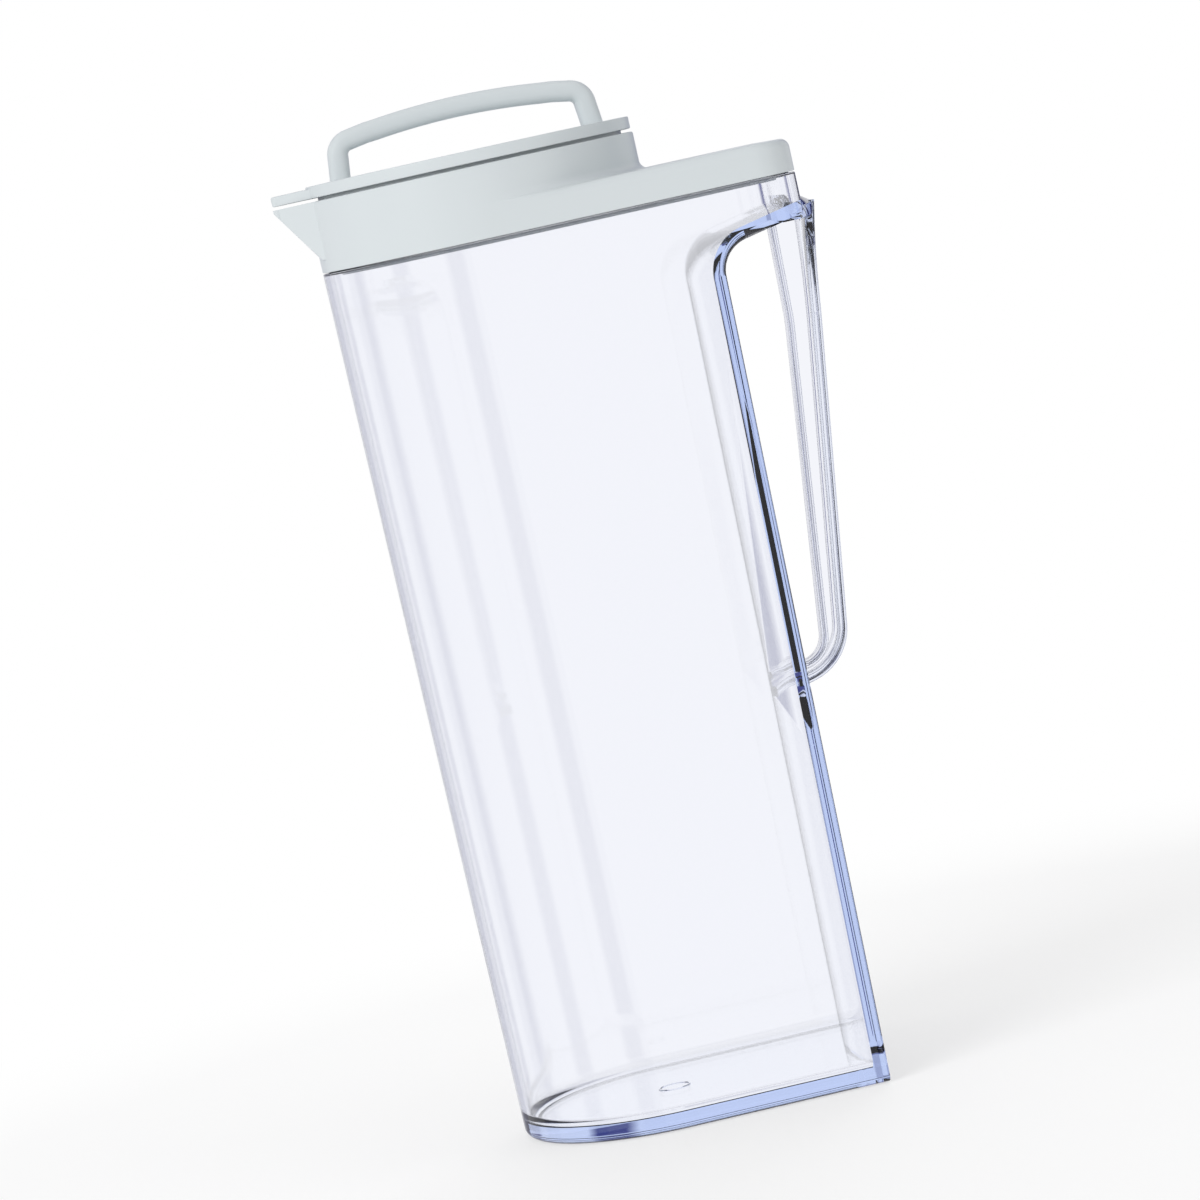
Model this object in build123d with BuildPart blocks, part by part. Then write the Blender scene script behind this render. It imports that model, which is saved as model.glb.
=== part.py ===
"""Pitcher with a screw lid: a clear jug with a side grip, a lift-off lid and a turning cap.

Frame: +Z up, the spout points to -X, the grip to +X. The origin is under the middle of the
overall box, on the face that the jug stands on. All sizes are in millimetres.
"""

from build123d import *
import math
import os

os.makedirs("parts", exist_ok=True)

# Reach of the whole object from the axis of the screw cap
spout_reach = 55.75
grip_reach = 90.75
cap_x = (spout_reach - grip_reach) / 2

# Jug body
shoulder_z = 247.9
top_half_width = 46.1
side_draft = 2.5
base_half_width = top_half_width - side_draft
ledge_reach = 6.75
head_rear = cap_x + grip_reach - ledge_reach
head_corner_r = 10.5
wall = 2.2
floor_t = 4.4
foot_round = 2.4
floor_round = 1.6

# Rear wall under the head: a shallow vee in plan that leans back as it rises
head_overhang = 27.65
rear_corner_base = head_rear - head_overhang
rear_corner_lean = 3.4
vee_depth = 4.8
rear_wall = 2.5
rear_corner_wall = 3.6
arch_r = 9.0
ceiling_drop = 17.0
ceiling_z = shoulder_z - ceiling_drop
ceiling_slope = 12.2
ceiling_t = 3.6

# Neck that the lid slips over
neck_step = 1.9
neck_wall = 1.6
neck_rise = 6.7
neck_blend = 2.0

# Ledge behind the head, at the root of the grip
ledge_drop = 12.9
ledge_rise = 3.4
ledge_slope = 3.8
ledge_inset = 10.1
ledge_back = 0.8
ledge_low = shoulder_z - ledge_drop
ledge_mid = ledge_low + ledge_rise
ledge_high = ledge_mid + ledge_slope
ledge_half_width = top_half_width - ledge_inset

# Grip, from its top bend over the knee down to the heel
grip_top_out = 4.6
grip_top_drop = 6.0
grip_knee_out = 2.2
grip_knee_drop = 21.2
grip_heel_in = 10.7
grip_length = 97.1
grip_top = (head_rear + grip_top_out, ledge_low - grip_top_drop)
grip_knee = (head_rear + grip_knee_out, grip_top[1] - grip_knee_drop)
grip_heel = (head_rear - grip_heel_in, grip_knee[1] - grip_length)
grip_root_out = 1.2
grip_top_bend = 20.0
grip_knee_bend = 60.0
grip_depth_top = 9.4
grip_depth_low = 7.2
heel_r = 16.0
heel_inner_r = 7.0
heel_inner_in = 0.7
heel_inner_rise = 3.2
foot_drop = 5.9
foot_inner_drop = 1.4
grip_plate = 2.8
grip_half_width = 7.5
web_t = 2.6
inner_bead = 1.9
inner_half_width = 4.6
flare_half_width = 17.0
flare_bow = 3.0
flare_lift = 4.0

# Lid
seat_gap = 0.3
skirt_bottom = shoulder_z + seat_gap
skirt_t = 1.5
deck_rise = 9.1
deck_z = skirt_bottom + deck_rise
deck_t = 2.0
deck_round = 2.6
collar_rise = 10.7
collar_top = deck_z + collar_rise
collar_wall = 2.5
collar_edge = 0.4
spout_half_width = 12.5
spout_tip_half = 1.6
spout_root = 6.0
spout_behind = 12.0
spout_drop = 4.4
spout_low = deck_z - spout_drop
spout_lip = 0.9
spout_wall = 1.7

# Wall under the deck that carries the lid seal
fit_gap = 0.3
lid_seal_room = 3.0
lid_seal_t = 1.5
lid_seal_h = 3.6
lid_seal_bead_h = 1.4
lid_seal_bead_out = 0.9
inner_wall_t = 1.7
inner_wall_drop = 8.6

# Threaded port of the lid and the plug of the cap
plug_r = 28.9
thread_room = 1.4
port_wall = 2.6
port_rise = 6.4
port_top = deck_z + port_rise
port_drop = 5.6
seat_t = 1.6
seat_ledge = 1.6
seat_inner_r = plug_r - seat_ledge
window_half_angle = 38.0
window_reach = 8.0
plug_wall = 2.2
plug_floor_t = 2.2
plug_seal_t = 1.5
plug_seal_gap = 0.05
plug_seal_ledge = 2.5
plug_seal_lip = 0.9
plug_seal_inner_r = plug_r - plug_seal_ledge
plug_seal_outer_r = plug_r + plug_seal_lip
plug_boss_h = 2.4

# Cap
cap_gap = 0.9
disc_inset = 0.4
disc_r = top_half_width - disc_inset
disc_t = 2.8
rim_w = 1.5
rim_h = 0.6
beak_inset = 0.1
bow_rise = 16.3
bow_inset = 9.7
bow_draw = 1.4
bow_base_half = disc_r - bow_inset
bow_corner_half = bow_base_half - bow_draw
bow_corner_drop = 3.1
bow_corner_r = 5.5
bow_t = 5.7
bow_w = 11.0
bow_edge = 1.6


def plan(height: float, half_width: float, rear: float, corner: float, inset: float) -> Sketch:
    """A round-nosed outline about the cap axis, drawn in by an inset all round."""
    half = half_width - inset
    back = rear - inset
    bend = corner - inset
    with BuildSketch(Plane.XY.offset(height)) as outline:
        with BuildLine():
            ThreePointArc((cap_x, -half), (cap_x - half, 0), (cap_x, half))
            Line((cap_x, half), (back - bend, half))
            RadiusArc((back - bend, half), (back, half - bend), bend)
            Line((back, half - bend), (back, bend - half))
            RadiusArc((back, bend - half), (back - bend, -half), bend)
            Line((back - bend, -half), (cap_x, -half))
        make_face()
    return outline.sketch


def half_width_at(height: float) -> float:
    """Half width of the jug body at a height, from its draft."""
    return base_half_width + (top_half_width - base_half_width) * height / shoulder_z


def plan_solid(low: float, high: float, inset: float) -> Part:
    """The drafted body of the jug between two heights, drawn in by an inset."""
    with BuildPart() as solid:
        add(plan(low, half_width_at(low), head_rear, head_corner_r, inset))
        add(plan(high, half_width_at(high), head_rear, head_corner_r, inset))
        loft(ruled=True)
    return solid.part


def recess_side(depth: float, shift: float, lift: float, bend: float) -> Sketch:
    """Side outline of the space behind the rear wall, on a plane at a distance from the middle.

    shift moves the wall to +X, lift raises the ceiling, and bend rounds the corner between them.
    """
    lean = rear_corner_lean / shoulder_z
    low = -2.0
    far = cap_x + 1.2 * grip_reach
    rise = math.tan(math.radians(ceiling_slope))
    wall_low = rear_corner_base - vee_depth + shift + lean * low
    corner_x = rear_corner_base - vee_depth + shift + lean * ceiling_z
    corner_z = ceiling_z + lift + rise * (corner_x - rear_corner_base)
    with BuildSketch(Plane.XZ.offset(depth)) as side:
        with BuildLine():
            FilletPolyline(
                (wall_low, low), (corner_x, corner_z), (far, corner_z + rise * (far - corner_x)), radius=bend
            )
            Line((far, corner_z + rise * (far - corner_x)), (far, low))
            Line((far, low), (wall_low, low))
        make_face()
    return side.sketch


def recess(middle_shift: float, edge_shift: float, lift: float, bend: float) -> Part:
    """The space behind the vee of the rear wall, open to both sides."""
    reach = top_half_width + 4.0
    edge = edge_shift + (edge_shift - middle_shift) * (reach - top_half_width) / top_half_width
    with BuildPart() as space:
        add(recess_side(0.0, middle_shift, lift, bend))
        add(recess_side(reach, edge, lift, bend))
        loft(ruled=True)
        mirror(about=Plane.XZ)
    return space.part


# Solids that shape the jug: its outside, the recess for the hand and the space inside
kept_clear = recess(-rear_wall, vee_depth - rear_corner_wall, ceiling_t, arch_r + ceiling_t)
neck_top = shoulder_z + neck_rise
neck_inset = neck_step + neck_wall
neck_low = shoulder_z - neck_blend

with BuildPart() as jug_inside:
    add(plan_solid(floor_t, neck_low, wall))
    add(kept_clear, mode=Mode.SUBTRACT)
    fillet(jug_inside.edges().group_by(Axis.Z)[0], radius=floor_round)
    add(plan(neck_low, top_half_width, head_rear, head_corner_r, neck_inset))
    extrude(amount=neck_top - neck_low + 1.0)

with BuildPart() as jug_outer:
    add(plan_solid(0.0, shoulder_z, 0.0))
    add(recess(0.0, vee_depth, 0.0, arch_r), mode=Mode.SUBTRACT)

with BuildPart() as jug_body:
    add(jug_outer.part)
    fillet(jug_body.edges().group_by(Axis.Z)[0], radius=foot_round)
    add(plan(shoulder_z, top_half_width, head_rear, head_corner_r, neck_step))
    extrude(amount=neck_rise)
    add(jug_inside.part, mode=Mode.SUBTRACT)
jug_body.part.label = "jug_body"
export_step(jug_body.part, "parts/jug_body.step")

# Grip: an outer plate and an inner bead on a thin web, with a ledge under the head
foot_end = (rear_corner_base - vee_depth - rear_wall, grip_heel[1] - foot_drop)
outer_line = [(grip_top[0] + grip_root_out, ledge_mid), grip_top, grip_knee, grip_heel, foot_end]
outer_bends = [grip_top_bend, grip_knee_bend, heel_r]
inner_knee = (grip_knee[0] - grip_depth_top, grip_knee[1])
inner_heel = (grip_heel[0] - grip_depth_low + heel_inner_in, grip_heel[1] + heel_inner_rise)
inner_foot = (foot_end[0], inner_heel[1] - foot_inner_drop)
inner_line = [(inner_knee[0] + ledge_back, ledge_high), inner_knee, inner_heel, inner_foot]
inner_bends = [grip_knee_bend, heel_inner_r]


def lane(points: list, bends: list, half_width: float, thickness: float, side: float) -> Part:
    """A flat strip swept along a side outline, laid to one side of the line."""
    with BuildPart() as strip:
        with BuildLine(Plane.XZ) as path:
            FilletPolyline(*points, radius=bends)
        start = path.wires()[0] @ 0
        heading = path.wires()[0] % 0
        with BuildSketch(Plane(origin=start, x_dir=(0, 1, 0), z_dir=heading)):
            with Locations((0, side * thickness / 2)):
                Rectangle(2 * half_width, thickness)
        sweep()
    return strip.part


def ledge_outline(height: float, reach: float, half_width: float) -> Sketch:
    """A bowed outline behind the head, from inside the rear face out to a reach."""
    inner = head_rear - head_corner_r
    with BuildSketch(Plane.XY.offset(height)) as outline:
        with BuildLine():
            ThreePointArc((head_rear - 1.0, -half_width), (reach, 0), (head_rear - 1.0, half_width))
            Line((head_rear - 1.0, half_width), (inner, half_width))
            Line((inner, half_width), (inner, -half_width))
            Line((inner, -half_width), (head_rear - 1.0, -half_width))
        make_face()
    return outline.sketch


with BuildPart() as ledge:
    add(ledge_outline(ledge_low, cap_x + grip_reach - ledge_back, ledge_half_width))
    add(ledge_outline(ledge_mid, cap_x + grip_reach, ledge_half_width))
    loft(ruled=True)
    add(ledge_outline(ledge_mid, cap_x + grip_reach, ledge_half_width))
    add(ledge_outline(ledge_high, head_rear + ledge_back, ledge_half_width))
    loft(ruled=True)

with BuildPart() as flare:
    with BuildSketch(Plane.YZ.offset(grip_knee[0] - grip_plate - 1.0)):
        with BuildLine():
            Line((-grip_half_width, grip_knee[1]), (grip_half_width, grip_knee[1]))
            ThreePointArc(
                (grip_half_width, grip_knee[1]),
                (grip_half_width + flare_bow, (grip_knee[1] + ledge_mid) / 2 + flare_lift),
                (flare_half_width, ledge_mid),
            )
            Line((flare_half_width, ledge_mid), (-flare_half_width, ledge_mid))
            ThreePointArc(
                (-flare_half_width, ledge_mid),
                (-grip_half_width - flare_bow, (grip_knee[1] + ledge_mid) / 2 + flare_lift),
                (-grip_half_width, grip_knee[1]),
            )
        make_face()
    extrude(amount=2 * flare_half_width)
    add(lane(outer_line, outer_bends, flare_half_width, grip_plate, -1.0), mode=Mode.INTERSECT)

with BuildPart() as grip_side:
    with BuildSketch(Plane.XZ.offset(-web_t / 2)):
        with BuildLine():
            FilletPolyline(*outer_line, radius=outer_bends)
            Line(foot_end, inner_foot)
            FilletPolyline(*inner_line, radius=inner_bends)
            Line(inner_line[0], outer_line[0])
        make_face()
    extrude(amount=web_t)

with BuildPart() as jug_handle:
    add(grip_side.part)
    add(lane(outer_line, outer_bends, grip_half_width, grip_plate, -1.0))
    add(lane(inner_line, inner_bends, inner_half_width, inner_bead, 1.0))
    add(flare.part)
    add(ledge.part)
    add(jug_outer.part, mode=Mode.SUBTRACT)
jug_handle.part.label = "jug_handle"
export_step(jug_handle.part, "parts/jug_handle.step")

# Lid: skirt, deck, raised round collar, spout and threaded port in one moulding
deck_under = deck_z - deck_t
spout_x = cap_x - spout_reach
collar_r = top_half_width
port_r = plug_r + thread_room
port_outer_r = port_r + port_wall
seat_top = deck_under - port_drop + seat_t
seal_outer_inset = neck_inset + fit_gap
seal_inner_inset = seal_outer_inset + lid_seal_t
seal_low = deck_under - lid_seal_room - lid_seal_h


def wedge(reach: float, half_root: float, half_tip: float, low: float, high: float) -> Part:
    """An upright wedge in plan that narrows from the cap axis side to the tip of the spout."""
    root = cap_x - collar_r + spout_root
    with BuildPart() as solid:
        with BuildSketch(Plane.XY.offset(low)) as outline:
            with BuildLine():
                Line((root, half_root), (reach + half_tip, half_tip))
                ThreePointArc((reach + half_tip, half_tip), (reach, 0), (reach + half_tip, -half_tip))
                Line((reach + half_tip, -half_tip), (root, -half_root))
                Line((root, -half_root), (root, half_root))
            make_face()
        extrude(amount=high - low)
    return solid.part


def spout_profile(thickness: float, top: float) -> Part:
    """Side profile over the slope of the spout, drawn in by the thickness of the spout's wall."""
    tip_z = collar_top - spout_lip
    face_x = cap_x - collar_r
    back_x = face_x + spout_behind
    slope = (tip_z - spout_low) / (spout_x - face_x)
    low = spout_low + thickness * math.sqrt(1.0 + slope * slope)
    meet_z = min(top, tip_z + low - spout_low)
    meet_x = face_x + (meet_z - low) / slope
    with BuildPart() as solid:
        with BuildSketch(Plane.XZ):
            with BuildLine():
                Polyline((meet_x, meet_z), (face_x, low), (back_x, low), (back_x, top), (meet_x, top))
                if meet_z < top:
                    Line((meet_x, top), (meet_x, meet_z))
            make_face()
        extrude(amount=spout_half_width + 2.0, both=True)
    return solid.part


def disc(radius: float, low: float, high: float) -> Part:
    """A round plate about the axis of the screw cap, between two levels."""
    with BuildPart() as plate:
        with BuildSketch(Plane.XY.offset(low)):
            with Locations((cap_x, 0)):
                Circle(radius)
        extrude(amount=high - low)
    return plate.part


def lid_plate(inset: float, low: float, high: float) -> Part:
    """A plate with the outline of the lid drawn in by an inset, between two levels."""
    with BuildPart() as plate:
        add(plan(low, top_half_width, head_rear, head_corner_r, inset))
        extrude(amount=high - low)
    return plate.part


with BuildPart() as spout:
    add(wedge(spout_x, spout_half_width, spout_tip_half, spout_low - 1.0, collar_top))
    add(spout_profile(0.0, collar_top), mode=Mode.INTERSECT)

with BuildPart() as trough:
    add(wedge(spout_x, spout_half_width - spout_wall, 0.5, deck_z, collar_top + 1.0))
    add(spout_profile(spout_wall, collar_top + 1.0), mode=Mode.INTERSECT)

with BuildPart() as lid_front:
    add(disc(collar_r, skirt_bottom, deck_z))
    split(bisect_by=Plane.YZ.offset(cap_x), keep=Keep.BOTTOM)

with BuildPart() as pour_window:
    far = port_outer_r + 2.0
    window_y = far * math.sin(math.radians(window_half_angle))
    window_x = cap_x - far * math.cos(math.radians(window_half_angle))
    with BuildSketch(Plane.XY.offset(deck_z)):
        with BuildLine():
            Polyline(
                (cap_x - window_reach, 0),
                (window_x, window_y),
                (cap_x - far - window_reach, 0),
                (window_x, -window_y),
                close=True,
            )
        make_face()
    extrude(amount=port_top - deck_z + 1.0)

with BuildPart() as lid_body:
    add(lid_plate(0.0, skirt_bottom, deck_z))
    fillet(lid_body.edges().group_by(Axis.Z)[-1], radius=deck_round)
    add(lid_front.part)
    add(disc(collar_r, deck_under, collar_top))
    chamfer(lid_body.edges().group_by(Axis.Z)[-1], length=collar_edge)
    add(spout.part)
    add(lid_plate(skirt_t, skirt_bottom - 1.0, deck_under), mode=Mode.SUBTRACT)
    add(disc(collar_r - collar_wall, deck_z, collar_top + 1.0), mode=Mode.SUBTRACT)
    add(trough.part, mode=Mode.SUBTRACT)
    add(lid_plate(seal_inner_inset, deck_under - inner_wall_drop, deck_under))
    add(lid_plate(seal_inner_inset - lid_seal_bead_out, seal_low - lid_seal_bead_h, seal_low))
    add(lid_plate(seal_inner_inset + inner_wall_t, deck_under - inner_wall_drop - 1.0, deck_under),
        mode=Mode.SUBTRACT)
    add(disc(port_outer_r, seat_top - seat_t, port_top))
    add(disc(port_r, seat_top, port_top + 1.0), mode=Mode.SUBTRACT)
    add(disc(seat_inner_r, seat_top - seat_t - 1.0, seat_top), mode=Mode.SUBTRACT)
    add(pour_window.part, mode=Mode.SUBTRACT)
lid_body.part.label = "lid_body"
export_step(lid_body.part, "parts/lid_body.step")

# Seal ring on the inner wall of the lid, held up by the bead below it
with BuildPart() as lid_gasket:
    add(lid_plate(seal_outer_inset, seal_low, seal_low + lid_seal_h))
    add(lid_plate(seal_inner_inset, seal_low - 1.0, seal_low + lid_seal_h + 1.0), mode=Mode.SUBTRACT)
lid_gasket.part.label = "lid_gasket"
export_step(lid_gasket.part, "parts/lid_gasket.step")

# Screw cap: disc with its beak, the bow on top and the hollow plug below
disc_low = collar_top + cap_gap
disc_top = disc_low + disc_t
bow_top = disc_top + bow_rise
with BuildPart() as cap_disc:
    with BuildSketch(Plane.XY.offset(disc_low)):
        with Locations((cap_x, 0)):
            Circle(disc_r)
    extrude(amount=disc_t)
    with BuildSketch(Plane.XY.offset(disc_top)):
        with Locations((cap_x, 0)):
            Circle(disc_r)
            Circle(disc_r - rim_w, mode=Mode.SUBTRACT)
    extrude(amount=rim_h)
    add(wedge(spout_x + beak_inset, spout_half_width, spout_tip_half, disc_low, disc_top))
cap_disc.part.label = "cap_disc"
export_step(cap_disc.part, "parts/cap_disc.step")

with BuildPart() as cap_bow:
    crown = bow_top - bow_t / 2
    corner_z = crown - bow_corner_drop
    foot_z = disc_top - bow_t
    with BuildSketch(Plane.XZ):
        with BuildLine() as bow_path:
            left_leg = Line((cap_x - bow_base_half, foot_z), (cap_x - bow_corner_half, corner_z))
            top_arc = ThreePointArc(left_leg @ 1, (cap_x, crown), (cap_x + bow_corner_half, corner_z))
            Line(top_arc @ 1, (cap_x + bow_base_half, foot_z))
            fillet(bow_path.vertices().group_by(Axis.Y)[-1], radius=bow_corner_r)
            offset(amount=bow_t / 2, side=Side.BOTH)
        make_face()
    extrude(amount=bow_w / 2, both=True)
    sides = cap_bow.faces().sort_by(Axis.Y)
    chamfer(sides[0].edges() + sides[-1].edges(), length=bow_edge)
    split(bisect_by=Plane.XY.offset(disc_top), keep=Keep.TOP)
cap_bow.part.label = "cap_bow"
export_step(cap_bow.part, "parts/cap_bow.step")

plug_low = seat_top + plug_seal_t + plug_seal_gap
with BuildPart() as cap_plug:
    with BuildSketch(Plane.XY.offset(plug_low)):
        with Locations((cap_x, 0)):
            Circle(plug_r)
    extrude(amount=disc_low - plug_low)
    with BuildSketch(Plane.XY.offset(plug_low + plug_floor_t)):
        with Locations((cap_x, 0)):
            Circle(plug_r - plug_wall)
    extrude(amount=disc_low - plug_low, mode=Mode.SUBTRACT)
    with BuildSketch(Plane.XY.offset(plug_low - plug_boss_h)):
        with Locations((cap_x, 0)):
            Circle(plug_seal_inner_r)
    extrude(amount=plug_boss_h)
cap_plug.part.label = "cap_plug"
export_step(cap_plug.part, "parts/cap_plug.step")

with BuildPart() as plug_gasket:
    with BuildSketch(Plane.XY.offset(plug_low - plug_seal_t)):
        with Locations((cap_x, 0)):
            Circle(plug_seal_outer_r)
            Circle(plug_seal_inner_r, mode=Mode.SUBTRACT)
    extrude(amount=plug_seal_t)
plug_gasket.part.label = "plug_gasket"
export_step(plug_gasket.part, "parts/plug_gasket.step")
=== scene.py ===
"""Looks of the pitcher with a screw lid: clear jug, pale lid and turning cap, seen as in the photograph."""

import logging
import math
from collections.abc import Callable
from dataclasses import dataclass, field
from enum import Enum

import bmesh
import bpy
from mathutils import Matrix, Vector


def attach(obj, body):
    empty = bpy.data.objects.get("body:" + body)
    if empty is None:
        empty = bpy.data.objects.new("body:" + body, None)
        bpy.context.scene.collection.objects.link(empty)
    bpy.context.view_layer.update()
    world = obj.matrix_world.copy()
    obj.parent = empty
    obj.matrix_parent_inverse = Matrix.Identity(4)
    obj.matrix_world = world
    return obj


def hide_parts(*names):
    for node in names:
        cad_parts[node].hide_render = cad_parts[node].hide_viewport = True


LOG = logging.getLogger("pitcher")
MM = 0.001
WELD = 0.000002
SLIVER = 0.000001
WHITE = (1.0, 1.0, 1.0, 1.0)

Point = tuple[float, float]
Ring = list[Vector]
Tone = tuple[float, float, float]

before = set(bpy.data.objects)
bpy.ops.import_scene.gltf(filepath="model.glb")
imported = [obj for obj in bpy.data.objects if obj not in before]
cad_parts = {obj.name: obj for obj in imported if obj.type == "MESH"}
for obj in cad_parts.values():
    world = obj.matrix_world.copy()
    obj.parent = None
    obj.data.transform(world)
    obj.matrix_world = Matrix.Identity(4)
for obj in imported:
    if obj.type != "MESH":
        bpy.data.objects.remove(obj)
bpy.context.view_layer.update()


class Slot(Enum):
    """Names of material slots, which no piece here takes its finish from."""

    JUG = "clear_jug"
    LID = "lid_plastic"
    SEAL = "seal_rubber"


class Body(Enum):
    """Moving bodies that the pieces ride on."""

    JUG = "jug"
    LID = "lid"
    SEAL = "plug_seal"
    CAP = "screw_cap"


class Nodes:
    """Small helper that adds and links shader nodes in one node tree."""

    def __init__(self, tree: bpy.types.NodeTree) -> None:
        """Start with an empty tree.

        Args:
            tree: The node tree to fill.
        """
        self.tree = tree
        tree.nodes.clear()

    def add(self, kind: str, inputs: dict | None = None, **settings: object) -> bpy.types.Node:
        """Add a node, set its properties and its inputs.

        Args:
            kind: Blender's type name of the node.
            inputs: Socket name or index to a value or to another node's output.
            settings: Properties of the node itself.

        Returns:
            The new node.
        """
        node = self.tree.nodes.new(kind)
        for name, value in settings.items():
            setattr(node, name, value)
        for key, value in (inputs or {}).items():
            if isinstance(value, bpy.types.NodeSocket):
                self.tree.links.new(value, node.inputs[key])
            else:
                node.inputs[key].default_value = value
        return node

    def math(self, operation: str, *values: object) -> bpy.types.NodeSocket:
        """Add a math node on numbers or sockets.

        Args:
            operation: Name of the operation.
            values: Numbers or sockets, in order.

        Returns:
            The result's socket.
        """
        return self.add("ShaderNodeMath", dict(enumerate(values)), operation=operation).outputs[0]

    def rest(self, value: bpy.types.NodeSocket) -> bpy.types.NodeSocket:
        """Add what is left of 1 after a value."""
        return self.math("SUBTRACT", 1.0, value)

    def mapped(self, value: bpy.types.NodeSocket, source: Point, target: Point,
               smooth: bool = False) -> bpy.types.NodeSocket:
        """Add a node that maps one range on another, held at both ends.

        Args:
            value: The value to map.
            source: Both ends of its own range.
            target: What these ends become.
            smooth: Whether it eases in and out in place of a straight line.

        Returns:
            The mapped value's socket.
        """
        ends = {"Value": value, "From Min": source[0], "From Max": source[1], "To Min": target[0],
                "To Max": target[1]}
        way = "SMOOTHSTEP" if smooth else "LINEAR"
        return self.add("ShaderNodeMapRange", ends, interpolation_type=way).outputs[0]

    def mixed(self, share: bpy.types.NodeSocket, first: Tone, second: Tone) -> bpy.types.NodeSocket:
        """Add a mix of two colours.

        Args:
            share: Share of the second colour.
            first: Colour at share 0.
            second: Colour at share 1.

        Returns:
            The mixed colour's socket.
        """
        colours = {0: share, 6: (*first, 1.0), 7: (*second, 1.0)}
        return self.add("ShaderNodeMix", colours, data_type="RGBA").outputs[2]

    def ramp(self, factor: bpy.types.NodeSocket, stops: list[Point]) -> bpy.types.NodeSocket:
        """Add a grey ramp.

        Args:
            factor: The value to look up.
            stops: Place and grey value of each stop, lowest place first.

        Returns:
            The grey value's socket.
        """
        node = self.add("ShaderNodeValToRGB", {"Fac": factor})
        elements = node.color_ramp.elements
        while len(elements) < len(stops):
            elements.new(0.5)
        for element, (place, grey) in zip(elements, stops):
            element.position = place
            element.color = (grey, grey, grey, 1.0)
        return node.outputs["Color"]


@dataclass(frozen=True)
class ClearFinish:
    """Clear moulded plastic with a blue violet body tone that shows on long paths."""

    name: str = "clear_moulded_plastic"
    index: float = 1.56
    depth_colour: Tone = (0.35, 0.55, 0.96)
    depth_density: float = 10.0
    ripple_scale: float = 22.0
    ripple_height: float = 0.00004
    ripple_strength: float = 0.35
    grip_ripple: float = 9.0
    grip_from: float = 0.048
    grip_full: float = 0.062
    haze_scale: float = 60.0
    haze_most: float = 0.02

    def build(self) -> bpy.types.Material:
        """Make the material.

        Returns:
            The clear material, with faint waves on its skin, stronger on the grip, and spots of faint haze.
        """
        material = bpy.data.materials.new(self.name)
        material.use_nodes = True
        nodes = Nodes(material.node_tree)
        place = nodes.add("ShaderNodeTexCoord").outputs["Object"]
        waves = nodes.add(
            "ShaderNodeTexNoise",
            {"Vector": place, "Scale": self.ripple_scale, "Detail": 1.5, "Roughness": 0.4},
        ).outputs[0]
        rearward = nodes.add("ShaderNodeSeparateXYZ", {0: place}).outputs[0]
        on_grip = nodes.mapped(rearward, (self.grip_from, self.grip_full), (1.0, self.grip_ripple))
        bump = nodes.add(
            "ShaderNodeBump",
            {
                "Strength": self.ripple_strength,
                "Distance": self.ripple_height,
                "Height": nodes.math("MULTIPLY", waves, on_grip),
            },
        ).outputs[0]
        haze = nodes.add(
            "ShaderNodeTexNoise", {"Vector": place, "Scale": self.haze_scale, "Detail": 4.0, "Roughness": 0.6}
        ).outputs[0]
        shader = nodes.add(
            "ShaderNodeBsdfPrincipled",
            {
                "Base Color": WHITE,
                "Roughness": nodes.mapped(haze, (0.45, 0.8), (0.0, self.haze_most)),
                "IOR": self.index,
                "Transmission Weight": 1.0,
                "Normal": bump,
            },
        ).outputs[0]
        depth = nodes.add(
            "ShaderNodeVolumeAbsorption",
            {"Color": (*self.depth_colour, 1.0), "Density": self.depth_density},
        ).outputs[0]
        nodes.add("ShaderNodeOutputMaterial", {"Surface": shader, "Volume": depth})
        return material


@dataclass(frozen=True)
class MouldedFinish:
    """Opaque moulded plastic with faint flow tone, satin gloss and a fine skin."""

    name: str
    colour: Tone
    tone: float = 0.02
    roughness: float = 0.32
    polish: float = 0.05
    rub: float = 0.08
    index: float = 1.49
    subsurface: float = 0.0
    glow_depth: float = 0.0012
    skin_scale: float = 900.0
    skin_height: float = 0.000008

    def build(self) -> bpy.types.Material:
        """Make the material.

        Returns:
            The opaque material.
        """
        material = bpy.data.materials.new(self.name)
        material.use_nodes = True
        nodes = Nodes(material.node_tree)
        place = nodes.add("ShaderNodeTexCoord").outputs["Object"]
        flow = nodes.add(
            "ShaderNodeTexNoise", {"Vector": place, "Scale": 14.0, "Detail": 3.0, "Roughness": 0.5}
        ).outputs[0]
        light = tuple(min(1.0, c * (1.0 + self.tone)) for c in self.colour)
        dark = tuple(c * (1.0 - self.tone) for c in self.colour)
        wear = nodes.add(
            "ShaderNodeTexNoise", {"Vector": place, "Scale": 45.0, "Detail": 5.0, "Roughness": 0.6}
        ).outputs[0]
        rough = nodes.mapped(wear, (0.0, 1.0), (self.roughness - self.polish, self.roughness + self.rub))
        grain = nodes.add(
            "ShaderNodeTexNoise", {"Vector": place, "Scale": self.skin_scale, "Detail": 2.0}
        ).outputs[0]
        bump = nodes.add(
            "ShaderNodeBump", {"Strength": 0.3, "Distance": self.skin_height, "Height": grain}
        ).outputs[0]
        shader = nodes.add(
            "ShaderNodeBsdfPrincipled",
            {
                "Base Color": nodes.mixed(flow, dark, light),
                "Roughness": rough,
                "IOR": self.index,
                "Normal": bump,
                "Subsurface Weight": self.subsurface,
                "Subsurface Radius": (0.9, 1.0, 1.0),
                "Subsurface Scale": self.glow_depth,
            },
        ).outputs[0]
        nodes.add("ShaderNodeOutputMaterial", {"Surface": shader})
        return material


def dress(piece: bpy.types.Object, material: bpy.types.Material) -> None:
    """Give a piece one material."""
    piece.data.materials.clear()
    piece.data.materials.append(material)


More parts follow.
